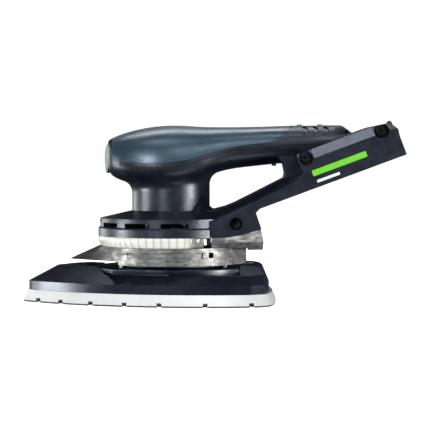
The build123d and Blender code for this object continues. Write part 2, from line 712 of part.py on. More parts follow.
with BuildPart() as support_posts:
    with BuildSketch(Plane.XY.offset(ORBIT_FLOOR + 1.6)):
        with PolarLocations(POST_CIRCLE, 4, start_angle=45):
            Circle(POST_RADIUS)
    extrude(amount=PLATE_LOW - ORBIT_FLOOR - 1.6)
    with BuildSketch(Plane.XY.offset(22.4)):
        with PolarLocations(POST_CIRCLE, 4, start_angle=45):
            Circle(POST_RADIUS)
            Circle(POST_RADIUS - 0.8, mode=Mode.SUBTRACT)
    extrude(amount=8.0, mode=Mode.SUBTRACT)
save(support_posts.part, "support_posts")

PORT_OUT = (
    (24.0, 32.9), (24.0, 38.7), (34.0, 39.1), (44.0, 41.0), (52.6, 43.5), (54.2, 36.8), (53.8, 31.5),
    (45.0, 31.5), (45.0, 32.9),
)
PORT_IN = (
    (22.0, 34.6), (22.0, 37.2), (34.0, 37.7), (44.0, 39.6), (60.0, 44.0), (60.0, 33.0), (46.0, 33.0),
    (45.8, 34.6),
)
PORT_HALF_FRONT, PORT_HALF_BACK = 34.0, 27.0


def port_plan(low, high, front, back, inset):
    """The port's outline in plan: as wide as the arm at the drum, narrower at its mouth."""
    with BuildPart() as made:
        with BuildSketch(Plane.XY.offset(low)):
            with BuildLine():
                Polyline(
                    (20, front - inset), (32, front - inset), (62, back - inset - 1.8),
                    (62, -(back - inset - 1.8)), (32, -(front - inset)), (20, -(front - inset)), close=True,
                )
            make_face()
        extrude(amount=high - low)
    return made.part


with BuildPart() as dust_port:
    add(side_slab(PORT_OUT, 40) & port_plan(20, 60, PORT_HALF_FRONT, PORT_HALF_BACK, 0))
    low = [e for e in dust_port.edges() if abs(e.center().Y) > 20 and e.center().Z < 34]
    chamfer([e for e in low if e.center().X > 45.5 and abs(e.tangent_at(0.5).X) > 0.8], 4.6, 3.0)
    add(side_slab(PORT_IN, 40) & port_plan(20, 64, PORT_HALF_FRONT, PORT_HALF_BACK, 4.2), mode=Mode.SUBTRACT)
    with Locations(((DUCT_BOX[0] + DUCT_BOX[1]) / 2, 0, 34)):
        Box(DUCT_BOX[1] - DUCT_BOX[0], 2 * DUCT_BOX[2], 4, mode=Mode.SUBTRACT)
save(dust_port.part, "dust_port")

# ---- light ring, collar ---------------------------------------------------------------------------------


def front_arc(shape_low, shape_high, end_deg):
    """A slice that covers end_deg each way from the front."""
    return sector_prism(shape_low, shape_high, HOOD_RADIUS * 2.4, 180 - end_deg, 180 + end_deg)


with BuildPart() as light_ring:
    with BuildSketch(Plane.XZ):
        with BuildLine():
            Polyline((-RING_INNER, RING_LOW), (-RING_INNER, RING_HIGH), (-HOOD_RADIUS, RING_HIGH))
            Spline((-HOOD_RADIUS, RING_HIGH), (-HOOD_RADIUS + 0.1, 36.2), (-HOOD_RADIUS + 1.9, RING_LOW))
            Line((-HOOD_RADIUS + 1.9, RING_LOW), (-RING_INNER, RING_LOW))
        make_face()
    revolve(axis=Axis.Z, revolution_arc=360)
save(light_ring.part & front_arc(30, 42, RING_END_DEG), "light_ring")

LED_COUNT, LED_STEP = 31, 7.5
with BuildPart() as led_board:
    with BuildSketch(Plane.XY.offset(33.1)):
        Circle(RING_INNER - 0.2)
        Circle(34.6, mode=Mode.SUBTRACT)
    extrude(amount=1.0)
save(led_board.part & front_arc(30, 42, RING_END_DEG - 2), "led_board")
with BuildPart() as leds:
    with BuildSketch(Plane.XY.offset(34.1)):
        for i in range(LED_COUNT):
            angle = 180 + (i - (LED_COUNT - 1) / 2) * LED_STEP
            with Locations(polar(37.0, angle)):
                Rectangle(1.6, 2.6, rotation=angle)
    extrude(amount=0.6)
save(leds.part, "leds")

with BuildPart() as collar_ring:
    with BuildSketch(Plane.XZ):
        with BuildLine():
            Polyline(
                (-COLLAR_INNER, COLLAR_LOW), (-COLLAR_INNER, COLLAR_HIGH),
                (-COLLAR_UPPER_RADIUS, COLLAR_HIGH), (-COLLAR_UPPER_RADIUS, COLLAR_STEP + 0.5),
                (-HOOD_RADIUS, COLLAR_STEP - 0.4), (-HOOD_RADIUS, COLLAR_LOW), close=True,
            )
        make_face()
    revolve(axis=Axis.Z, revolution_arc=360)
    for angle in VENT_DIRECTIONS:
        vent = sector_prism(VENT_LOW, VENT_HIGH, 60, angle - VENT_DEG / 2, angle + VENT_DEG / 2)
        add(vent, mode=Mode.SUBTRACT)
save(collar_ring.part & front_arc(30, 60, COLLAR_END_DEG), "collar_ring")

# ---- housing --------------------------------------------------------------------------------------------

SLOPE = radians(DOCK_SLOPE_DEG)
CREST = (73.0, 86.4)
CREST_LENGTH = 48.4
DOCK_TOE = (DOCK_HEEL[0] + DOCK_LENGTH * cos(SLOPE), DOCK_HEEL[1] + DOCK_LENGTH * sin(SLOPE))
ARM_OUT = (
    (15, 45), (22, 45), (22, 38.9), (34, 39.3), (44, 41.2), (52.8, 43.8), (49.6, 53.2), DOCK_HEEL,
    (78, 65.2), (78, 79), (70, 74.6), (65.2, 72.1), (46.9, 62.7), (38, 58.2), (32, 55.8), (26, 54.4),
    (15, 53.8),
)
ARM_IN = (
    (10, 36), (34, 41.6), (44, 43.5), (49.6, 45.2), (46.8, 53.0), (49.8, 57.6), (64, 62.8), (66.2, 69.2),
    (48.1, 60.0), (39, 55.6), (32, 53.2), (26, 51.8), (10, 51.2),
)
DOCK_OUT = (
    (68, DOCK_HEEL[1] + (68 - DOCK_HEEL[0]) * tan(SLOPE)), DOCK_TOE, (131.9, 96.8), (130.8, 101.2),
    (128.2, 103.4), (124.0, 104.4),
    (CREST[0] + CREST_LENGTH * cos(SLOPE), CREST[1] + CREST_LENGTH * sin(SLOPE)), CREST,
    (74.9, 80.8), (76.6, 76.6), (73.4, 72.4),
)
TRIM_DROP, TRIM_RUN = 5.2, 3.6


def along(start, degrees):
    """A plane square to a slope in the XZ plane: x across the tool, y away from the slope."""
    a = radians(degrees)
    return Plane(origin=(start[0], 0, start[1]), x_dir=(0, 1, 0), z_dir=(cos(a), 0, sin(a)))


def dock_plane(up):
    """A plane along the dock's underside, raised by up, with its x along the battery's slide."""
    origin = (DOCK_HEEL[0] - up * sin(SLOPE), 0, DOCK_HEEL[1] + up * cos(SLOPE))
    return Plane(origin=origin, x_dir=(cos(SLOPE), 0, sin(SLOPE)), z_dir=(-sin(SLOPE), 0, cos(SLOPE)))


def bevel(plane, start, length, run, drop, thick=20.0):
    """Prisms that take both top corners off a slab of the arm's width."""
    with BuildPart() as made:
        with BuildSketch(plane.offset(start)):
            near, far = ARM_HALF_WIDTH - run, ARM_HALF_WIDTH + run
            wide, low = far + thick, -2 * drop
            corners = ((near, 0), (far, low), (wide, low), (wide, thick), (near, thick))
            for side in (1, -1):
                with BuildLine():
                    Polyline(*[(side * x, y) for x, y in corners], close=True)
                make_face()
        extrude(amount=length)
    return made.part


def across(x, z, radius, from_y, to_y):
    """A cylinder that lies across the tool."""
    with BuildPart() as made:
        with BuildSketch(Plane.XZ.offset(-from_y)):
            with Locations((x, z)):
                Circle(radius)
        extrude(amount=from_y - to_y)
    return made.part


def trim_bar(side):
    """A flat bar let into the dock's bevelled top corner, between the two screw pockets."""
    face_length = (TRIM_DROP**2 + TRIM_RUN**2) ** 0.5
    steep, flat = TRIM_DROP / face_length, TRIM_RUN / face_length
    inner = ARM_HALF_WIDTH - TRIM_RUN
    corners = (
        (inner, 0, 0.2), (ARM_HALF_WIDTH, -TRIM_DROP, 0.2),
        (ARM_HALF_WIDTH, -TRIM_DROP, -1.0), (inner, 0, -1.0),
    )
    with BuildPart() as made:
        with BuildSketch(along(CREST, DOCK_SLOPE_DEG).offset(8.8)):
            with BuildLine():
                Polyline(*[(side * (y + n * steep), z + n * flat) for y, z, n in corners], close=True)
            make_face()
        extrude(amount=36.8)
    return made.part


with BuildPart() as arm:
    add(side_slab(ARM_OUT, ARM_HALF_WIDTH))
    add(bevel(along((0, 53.8), 0), 10, 17.5, 15.0, 4.8), mode=Mode.SUBTRACT)
    add(bevel(along((26, 54.4), 24.3), 0, 70, 13.0, 4.6), mode=Mode.SUBTRACT)
with BuildPart() as dock:
    add(side_slab(DOCK_OUT, ARM_HALF_WIDTH))
    add(bevel(along(CREST, DOCK_SLOPE_DEG), -8, 76, TRIM_RUN, TRIM_DROP), mode=Mode.SUBTRACT)

with BuildPart() as shoulder:
    with BuildSketch(Plane.XZ):
        with BuildLine():
            Polyline(
                (0, 44.0), (COLLAR_INNER - 0.2, 44.0), (COLLAR_INNER - 0.2, COLLAR_HIGH + 0.1),
                (SHOULDER_RADIUS, COLLAR_HIGH + 0.1), (SHOULDER_RADIUS, 49.4), (NECK_RADIUS, NECK_FOOT),
                (0, NECK_FOOT), close=True,
            )
        make_face()
    revolve(axis=Axis.Z)

# wedges that brace the neck's foot, one towards each rear corner
GUSSET_DEG = 41.0
GUSSET_SECTIONS = ((51.8, 30.0, 8.0), (60.6, 22.9, 0.5))  # height, reach from the axis, half width
with BuildPart() as gussets:
    for side in (1, -1):
        sections = []
        for z, reach, half in GUSSET_SECTIONS:
            turned = Plane.XY.offset(z).rotated((0, 0, side * GUSSET_DEG))
            with BuildSketch(turned) as wedge:
                with BuildLine():
                    Polyline((17, -half), (reach, -half), (reach, half), (17, half), close=True)
                make_face()
            sections.append(wedge.sketch)
        loft(sections=sections, ruled=True)

with BuildPart() as pillar:
    add(side_slab(((66, 66), (67.4, 76), (66.4, 81), (62, 86), (112, 92), (112, 82), (90, 72)), 17.0))

END_CUT = (HANDLE_END[0], HANDLE_END[1], (116, 91), (130, 91), (130, 120), (HANDLE_END[0][0], 120))
end_cut = side_slab(END_CUT, 60)
head_outer = head_body(0.0) - end_cut
head_inner = head_body(WALL, front_trim=WALL, rear_trim=WALL + 6)
above_seam = above_curve(SEAM, 120, 60)

with BuildPart() as head_and_neck:
    add(head_outer)
    with BuildSketch(Plane.XY.offset(50)):
        Circle(NECK_RADIUS)
    extrude(amount=28)
    curved = head_and_neck.edges().filter_by(GeomType.BSPLINE)
    meeting = [e for e in curved if e.is_closed and e.center().Z < 80]
    fillet(meeting, NECK_FLARE)

# the groove along the seam, on the outside only
with BuildPart() as seam_groove:
    add(above_seam)
    add(above_curve([(x, z + SEAM_GAP) for x, z in SEAM], 120, 60), mode=Mode.SUBTRACT)
    add(head_body(SEAM_DEPTH), mode=Mode.SUBTRACT)

with BuildPart() as cover_space:
    add(head_outer)
    add(above_seam, mode=Mode.INTERSECT)

# the dial's pocket, its window in the handle's near side and the room for its control underneath
with BuildPart() as dial_pocket:
    with BuildSketch(Plane.XY.offset(DIAL_LOW - 0.3)):
        with Locations(DIAL_AT):
            Circle(DIAL_RADIUS + 0.4)
    extrude(amount=DIAL_HIGH - DIAL_LOW + 0.6)
with BuildPart() as dial_window:
    with BuildSketch(Plane.XY.offset(DIAL_LOW - 0.3)):
        with Locations((100.0, -17.0)):
            RectangleRounded(7.4, 11.0, 1.5)
    extrude(amount=8)
with BuildPart() as spindle_hole:
    with BuildSketch(Plane.XY.offset(94)):
        with Locations(DIAL_AT):
            Circle(1.9)
    extrude(amount=6)
control_room = box_between((95.2, -14.2, BOARD_HIGH), (101.4, -7.4, 97.4))
DIAL_CUTS = (dial_pocket.part, dial_window.part, spindle_hole.part, control_room)

with BuildPart() as housing:
    add(head_and_neck.part)
    add(above_seam, mode=Mode.SUBTRACT)
    add(pillar.part)
    add(gussets.part)
    add(shoulder.part)
    add(arm.part)
    add(dock.part)
    # the motor's room and bore
    with BuildSketch(Plane.XZ):
        with BuildLine():
            room = COLLAR_INNER - WALL + 0.6
            Polyline((0, 30), (room, 30), (room, 47.4), (NECK_BORE + 1, 51.2), (0, 51.2), close=True)
        make_face()
    revolve(axis=Axis.Z, mode=Mode.SUBTRACT)
    for angle in VENT_DIRECTIONS:
        vent = sector_prism(VENT_LOW - 0.3, VENT_HIGH + 0.2, 60, angle - VENT_DEG / 2, angle + VENT_DEG / 2)
        add(vent - ring(40, 50, 0, room - 1), mode=Mode.SUBTRACT)
    # a stiffening rib between the front vents
    front_rib = ((-room - 0.6, VENT_LOW - 1), (-26.4, VENT_LOW - 1), (-26.4, 50.8), (-room - 0.6, 47.9))
    add(side_slab(front_rib, 0.8))
    with BuildSketch(Plane.XY.offset(36)):
        Circle(NECK_BORE)
    extrude(amount=46, mode=Mode.SUBTRACT)
    add(head_inner, mode=Mode.SUBTRACT)
    add(side_slab(ARM_IN, ARM_ROOM_HALF), mode=Mode.SUBTRACT)
    add(box_between((70.5, -11, 78.5), (80, 11, 89)), mode=Mode.SUBTRACT)
    # room above the battery, and the recess the battery slides into, with a lip along each side
    with BuildSketch(dock_plane(12.6)):
        with Locations(((RECESS_START + DOCK_LENGTH - 1) / 2, 0)):
            Rectangle(DOCK_LENGTH - 9 - RECESS_START, 48)
    extrude(amount=6.6, mode=Mode.SUBTRACT)
    for low, high, half in ((-1, RECESS_TOP, RAIL_GAP_HALF), (RAIL_THICKNESS, RECESS_TOP, DOCK_RECESS_HALF)):
        with BuildSketch(dock_plane(low)):
            with Locations((RECESS_START + 60, 0)):
                Rectangle(120, 2 * half)
        extrude(amount=high - low, mode=Mode.SUBTRACT)
    with BuildSketch(Plane.XY.offset(77)):
        with Locations((LEAD_X, 6), (LEAD_X, -6)):
            Circle(1.4)
    extrude(amount=9, mode=Mode.SUBTRACT)
    # bosses: four hang down to the motor plate, three cross between the halves; ribs carry the board
    with BuildSketch(Plane.XY.offset(PLATE_HIGH)):
        with Locations(*[polar(SCREW_CIRCLE, a) for a in SCREW_ANGLES]):
            Circle(3.6)
            Circle(1.6, mode=Mode.SUBTRACT)
    extrude(amount=11.5)
    for x, z, radius in SIDE_SCREWS:
        add(across(x, z, 2.5, 25, -25))
    for x in (34, 60, 92):
        add(box_between((x, -10, 80), (x + 2, 10, BOARD_LOW)))
    for x, z, radius in SIDE_SCREWS:
        add(across(x, z, radius, -26.5, -40), mode=Mode.SUBTRACT)
        add(across(x, z, radius + 0.45, -33.6, -40), mode=Mode.SUBTRACT)
        add(across(x, z, SCREW_RADIUS, 14, -40), mode=Mode.SUBTRACT)
    for side in (1, -1):
        add(trim_bar(side), mode=Mode.SUBTRACT)
    add(cover_space.part, mode=Mode.SUBTRACT)
    for cut in DIAL_CUTS:
        add(cut, mode=Mode.SUBTRACT)
    add(box_between((125.8, -6, 101.4), (133, 6, 110)), mode=Mode.SUBTRACT)
save(housing.part & box_between((-200, -100, -50), (300, 0, 200)), "housing_left")
save(housing.part & box_between((-200, 0, -50), (300, 100, 200)), "housing_right")

# ---- top cover, soft grip and controls ------------------------------------------------------------------


def grip_zone(gap):
    """The part of the head that the soft grip covers."""
    edge = [(x, z + gap) for x, z in GRIP_EDGE]
    with BuildPart() as zone:
        with BuildSketch(Plane.XZ):
            with BuildLine():
                lower = Spline(*edge)
                rise = ((60.2 - gap, 94.6), (64.6 - gap, 97.4), (68.4 - gap, 100.4), (71.0 - gap, 108.0))
                rear = Spline(lower @ 1, *rise)
                Polyline(rear @ 1, (edge[0][0] + gap, 108), lower @ 0)
            make_face()
        extrude(amount=60, both=True)
    return zone.part


def cap_zone(gap):
    """The part of the handle that the control cap covers."""
    with BuildPart() as zone:
        with BuildSketch(Plane.XZ):
            with BuildLine():
                start = (61.4 + gap, 94.8 + gap)
                rear = Spline(start, (65.2 + gap, 97.4), (69.0 + gap, 100.4), (71.6 + gap, 108.0))
                Polyline(rear @ 1, (112, 108), (112, 97.4 + gap), (69, 96.9 + gap), rear @ 0)
            make_face()
        extrude(amount=60, both=True)
    return zone.part


head_core = head_body(GRIP_DEPTH, 0.6, 1.6)
with BuildPart() as skin:
    add(grip_zone(0))
    add(cap_zone(0))
    add(head_core, mode=Mode.SUBTRACT)

# the button's hole, and three finger grooves on each side of the cap
with BuildPart() as button_hole:
    with BuildSketch(Plane.XY.offset(98)):
        with Locations(((BUTTON[0] + BUTTON[1]) / 2, 0)):
            RectangleRounded(BUTTON[1] - BUTTON[0], 2 * BUTTON[2], 2.5)
    extrude(amount=10)
with BuildPart() as finger_grooves:
    for x in GROOVE_X:
        for side in (1, -1):
            with BuildSketch(Plane.XZ.offset(side * 24)):
                with BuildLine():
                    ThreePointArc((x - 1.4, 97.8), (x + 0.6, 100.4), (x - 1.0, 103.0))
                    Line((x - 1.0, 103.0), (x + 1.4, 103.0))
                    ThreePointArc((x + 1.4, 103.0), (x + 3.0, 100.4), (x + 1.0, 97.8))
                    Line((x + 1.0, 97.8), (x - 1.4, 97.8))
                make_face()
            extrude(amount=-side * 16)
    add(head_body(0.9), mode=Mode.SUBTRACT)

with BuildPart() as head_cover:
    add(head_outer)
    add(above_seam, mode=Mode.INTERSECT)
    add(seam_groove.part, mode=Mode.SUBTRACT)
    add(head_inner, mode=Mode.SUBTRACT)
    add(skin.part, mode=Mode.SUBTRACT)
    add(button_hole.part, mode=Mode.SUBTRACT)
    for cut in DIAL_CUTS:
        add(cut, mode=Mode.SUBTRACT)
save(head_cover.part, "head_cover")

with BuildPart() as top_grip:
    add(head_outer)
    add(grip_zone(0.25), mode=Mode.INTERSECT)
    add(head_core, mode=Mode.SUBTRACT)
save(top_grip.part, "top_grip")

with BuildPart() as control_cap:
    add(head_outer)
    add(cap_zone(0.15), mode=Mode.INTERSECT)
    add(head_core, mode=Mode.SUBTRACT)
    add(button_hole.part, mode=Mode.SUBTRACT)
    for cut in DIAL_CUTS:
        add(cut, mode=Mode.SUBTRACT)
    add(finger_grooves.part, mode=Mode.SUBTRACT)
save(control_cap.part, "control_cap")

BUTTON_X = (BUTTON[0] + BUTTON[1]) / 2
BUTTON_LONG = BUTTON[1] - BUTTON[0]
with BuildPart() as power_button:
    with BuildSketch(Plane.XY.offset(98.8)):
        with Locations((BUTTON_X, 0)):
            RectangleRounded(BUTTON_LONG - 0.6, 2 * BUTTON[2] - 0.6, 2.2)
    extrude(amount=103.7 - 98.8)
    fillet(power_button.edges().group_by(Axis.Z)[-1], 0.6)
    with BuildSketch(Plane.XY.offset(102.6)):
        with Locations((BUTTON[0] + 0.4 + RIDGE_LONG / 2, 0), (BUTTON[1] - 0.4 - RIDGE_LONG / 2, 0)):
            RectangleRounded(RIDGE_LONG, 2 * BUTTON[2] - 2.4, 1.2)
    extrude(amount=RIDGE_TOP - 102.6)
    fillet(power_button.edges().group_by(Axis.Z)[-1], 0.5)
    with BuildSketch(Plane.XY.offset(98.8)):
        with Locations((BUTTON_X, 0)):
            Rectangle(BUTTON_LONG + 1.8, 2 * BUTTON[2] + 1.4)
    extrude(amount=1.2)
    with BuildSketch(Plane.XY.offset(98.0)):
        with Locations((BUTTON_X, 0)):
            Circle(3.6)
    extrude(amount=4.0, mode=Mode.SUBTRACT)
save(power_button.part, "power_button")

with BuildPart() as button_switch:
    add(box_between((BUTTON_X - 5.5, -3.2, BOARD_HIGH), (BUTTON_X + 5.5, 3.2, 96.0)))
    with BuildSketch(Plane.XY.offset(96.0)):
        with Locations((BUTTON_X, 0)):
            Circle(1.2)
    extrude(amount=1.6)
save(button_switch.part, "button_switch")

with BuildPart() as button_spring:
    with BuildLine():
        Helix(pitch=1.2, height=3.6, radius=2.6, center=(BUTTON_X, 0, 96.4))
    with BuildSketch(Plane(origin=(BUTTON_X + 2.6, 0, 96.4), z_dir=(0, 1, 0))):
        Circle(0.35)
    sweep(is_frenet=True)
save(button_spring.part, "button_spring")

with BuildPart() as speed_dial:
    with BuildSketch(Plane.XY.offset(DIAL_LOW)):
        with Locations(DIAL_AT):
            Circle(DIAL_RADIUS)
        with Locations(DIAL_AT):
            with PolarLocations(DIAL_RADIUS + 0.25, 18):
                Circle(0.5, mode=Mode.SUBTRACT)
    extrude(amount=DIAL_HIGH - DIAL_LOW)
    with BuildSketch(Plane.XY.offset(95.6)):
        with Locations(DIAL_AT):
            Circle(1.5)
    extrude(amount=DIAL_LOW - 95.6)
save(speed_dial.part, "speed_dial")

with BuildPart() as dial_control:
    with BuildSketch(Plane.XY.offset(BOARD_HIGH)):
        with Locations((DIAL_AT[0], -7.7)):
            Rectangle(4.6, 11.0)
    extrude(amount=1.2)
    with BuildSketch(Plane.XY.offset(BOARD_HIGH)):
        with Locations(DIAL_AT):
            Circle(2.8)
    extrude(amount=96.4 - BOARD_HIGH)
    with BuildSketch(Plane.XY.offset(95.0)):
        with Locations(DIAL_AT):
            Circle(1.55)
    extrude(amount=4, mode=Mode.SUBTRACT)
save(dial_control.part, "dial_control")

# ---- electronics ----------------------------------------------------------------------------------------

save(box_between((26, -9, BOARD_LOW), (96.4, 9, BOARD_HIGH)), "control_board")
with BuildPart() as power_module:
    add(box_between((28, -7.5, BOARD_HIGH), (52, 7.5, 95.0)))
    with BuildSketch(Plane.XY.offset(93.4)):
        with Locations((40, 0)):
            with GridLocations(0, 2.6, 1, 5):
                Rectangle(30, 1.3)
    extrude(amount=3, mode=Mode.SUBTRACT)
save(power_module.part, "power_module")
with BuildPart() as capacitors:
    with BuildSketch(Plane.XY.offset(BOARD_HIGH)):
        with Locations((60.5, -4.2), (60.5, 4.2), (68.3, 0)):
            Circle(3.6)
    extrude(amount=8.5)
save(capacitors.part, "capacitors")


LEAD_ROUTE = ((16.4, 82.4), (17.4, 86.0), (23.0, 91.0), (27.9, 91.6))
with BuildPart() as one_lead:
    with BuildLine(Plane.XZ):
        route = FilletPolyline(*LEAD_ROUTE, radius=2.4)
    with BuildSketch(Plane(origin=(LEAD_ROUTE[0][0], 0, LEAD_ROUTE[0][1]), z_dir=(1.0, 0, 3.6))):
        Circle(0.8)
    sweep(path=route)
with BuildPart() as motor_leads:
    with Locations((0, -5, 0), (0, 0, 0), (0, 5, 0)):
        add(one_lead.part)
save(motor_leads.part, "motor_leads")

with BuildPart() as battery_leads:
    with BuildSketch(Plane.XY.offset(78.9)):
        with Locations((LEAD_X, 6), (LEAD_X, -6)):
            Circle(0.9)
    extrude(amount=BOARD_LOW - 78.9)
save(battery_leads.part, "battery_leads")

# ---- battery dock ---------------------------------------------------------------------------------------

with BuildPart() as terminal_block:
    with BuildSketch(dock_plane(2.6)):
        with Locations((RECESS_START + 4.0, 0)):
            Rectangle(8.0, 34)
        with Locations((RECESS_START + 5.8, 0)):
            with GridLocations(0, 8, 1, 4):
                Rectangle(4.4, 1.4, mode=Mode.SUBTRACT)
    extrude(amount=RECESS_TOP - 2.6)
save(terminal_block.part, "terminal_block")
with BuildPart() as battery_contacts:
    with BuildSketch(dock_plane(4.2)):
        with Locations((RECESS_START + 8.4, 0)):
            with GridLocations(0, 8, 1, 4):
                Rectangle(9.6, 0.9)
    extrude(amount=5.4)
save(battery_contacts.part, "battery_contacts")

# metal strips that line the two lips the battery hangs on
with BuildPart() as dock_rails:
    for side in (1, -1):
        with BuildSketch(dock_plane(RAIL_THICKNESS)):
            with Locations((RECESS_START + 28, side * (RAIL_GAP_HALF + 1.3))):
                Rectangle(50, 2.2)
        extrude(amount=0.7)
save(dock_rails.part, "dock_rails")

save(trim_bar(-1), "dock_trim_left")
save(trim_bar(1), "dock_trim_right")
CATCH = (
    (126.0, 101.4), (126.0, 104.0), (127.2, 104.6), (129.2, 106.7), (130.5, 105.2), (131.0, 103.0),
    (130.8, 101.4),
)
save(side_slab(CATCH, 5.8), "dock_catch")

# ---- badge, accents and screws --------------------------------------------------------------------------

FRONT_X, BADGE_MIDDLE = HEAD_STATIONS[0][0], 84.2
with BuildPart() as badge_bezel:
    with BuildSketch(Plane.YZ.offset(FRONT_X - 0.8)):
        with Locations((0, BADGE_MIDDLE)):
            RectangleRounded(22.0, 17.0, 4.0)
    extrude(amount=0.8)
    with BuildSketch(Plane.YZ.offset(FRONT_X - 0.8)):
        with Locations((0, BADGE_MIDDLE)):
            RectangleRounded(19.0, 14.4, 3.0)
    extrude(amount=0.8, mode=Mode.SUBTRACT)
save(badge_bezel.part, "badge_bezel")
with BuildPart() as front_badge:
    with BuildSketch(Plane.YZ.offset(FRONT_X - 3.0)):
        with Locations((0, BADGE_MIDDLE)):
            RectangleRounded(21.6, 16.8, 4.0)
    extrude(amount=2.2)
    with BuildSketch(Plane.XZ):
        with BuildLine():
            top, bottom = BADGE_MIDDLE + 8.6, BADGE_MIDDLE - 8.6
            edge = FRONT_X - 0.9
            ThreePointArc((edge, bottom), (FRONT_X - 1.7, BADGE_MIDDLE), (edge, top))
            Polyline((edge, top), (FRONT_X, top), (FRONT_X, bottom), (edge, bottom))
        make_face()
    extrude(amount=20, both=True, mode=Mode.INTERSECT)
    with BuildSketch(Plane.YZ.offset(FRONT_X - 0.8)):
        with Locations((0, BADGE_MIDDLE)):
            RectangleRounded(18.8, 14.2, 2.9)
    extrude(amount=0.8)
save(front_badge.part, "front_badge")

STRIPE = ((97.3, 81.4), 33.0, 3.4)
DASH = ((91.0, 73.6), 14.0, 1.6)
for name, ((x, z), long, high) in (("accent_stripe", STRIPE), ("accent_dash", DASH)):
    for side, side_name in ((-1, "left"), (1, "right")):
        with BuildPart() as accent:
            with BuildSketch(Plane.XZ.offset(-side * ARM_HALF_WIDTH)):
                with Locations(Location((x, z, 0), (0, 0, DOCK_SLOPE_DEG))):
                    RectangleRounded(long, high, 0.7)
            extrude(amount=-side * 0.25)
        save(accent.part, f"{name}_{side_name}")

with BuildPart() as housing_screws:
    for x, z, radius in SIDE_SCREWS:
        add(across(x, z, 2.7, -26.5, -28.9))
        add(across(x, z, SCREW_RADIUS, 10, -26.5))
        add(across(x, z, 1.2, -27.6, -30), mode=Mode.SUBTRACT)
save(housing_screws.part, "housing_screws")

with BuildPart() as hood_screws:
    with BuildSketch(Plane.XY.offset(HOOD_ROOF - HOOD_WALL - 1.8)):
        with Locations(*[polar(SCREW_CIRCLE, a) for a in SCREW_ANGLES]):
            Circle(3.0)
            Circle(1.2, mode=Mode.SUBTRACT)
    extrude(amount=1.0)
    with BuildSketch(Plane.XY.offset(HOOD_ROOF - HOOD_WALL - 0.8)):
        with Locations(*[polar(SCREW_CIRCLE, a) for a in SCREW_ANGLES]):
            Circle(3.0)
    extrude(amount=0.8)
    with BuildSketch(Plane.XY.offset(HOOD_ROOF - HOOD_WALL)):
        with Locations(*[polar(SCREW_CIRCLE, a) for a in SCREW_ANGLES]):
            Circle(1.6)
    extrude(amount=12.5)
save(hood_screws.part, "hood_screws")
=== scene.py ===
"""Looks for the cordless delta sander.

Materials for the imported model, a ribbed light ring and a foam pad that stand for CAD nodes, the studio
and the camera.
"""

import json
import math

import bmesh
import bpy
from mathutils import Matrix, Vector, noise


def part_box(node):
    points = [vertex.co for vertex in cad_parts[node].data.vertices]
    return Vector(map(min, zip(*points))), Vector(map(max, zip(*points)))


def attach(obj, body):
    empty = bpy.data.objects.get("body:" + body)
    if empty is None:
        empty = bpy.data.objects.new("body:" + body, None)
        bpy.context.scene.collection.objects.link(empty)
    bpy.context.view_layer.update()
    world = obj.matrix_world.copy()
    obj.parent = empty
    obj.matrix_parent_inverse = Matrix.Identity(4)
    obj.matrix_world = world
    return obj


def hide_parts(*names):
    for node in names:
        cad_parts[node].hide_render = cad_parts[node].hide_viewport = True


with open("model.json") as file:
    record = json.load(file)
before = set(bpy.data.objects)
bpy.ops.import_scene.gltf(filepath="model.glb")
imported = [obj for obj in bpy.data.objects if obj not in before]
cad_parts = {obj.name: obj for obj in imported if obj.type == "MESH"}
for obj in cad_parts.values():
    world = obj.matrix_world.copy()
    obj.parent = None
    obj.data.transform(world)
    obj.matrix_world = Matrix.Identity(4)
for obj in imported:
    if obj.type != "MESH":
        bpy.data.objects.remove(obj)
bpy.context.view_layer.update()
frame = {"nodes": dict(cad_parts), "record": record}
NODES = frame["nodes"]
RIBS_PER_TURN = 60  # of the light ring
SHEET_THICKNESS = 0.0005  # of the motor's laminations
WIRE_PITCH = 0.0007  # from turn to turn of the motor's coils


# ---- material helpers ----------------------------------------------------------------------------


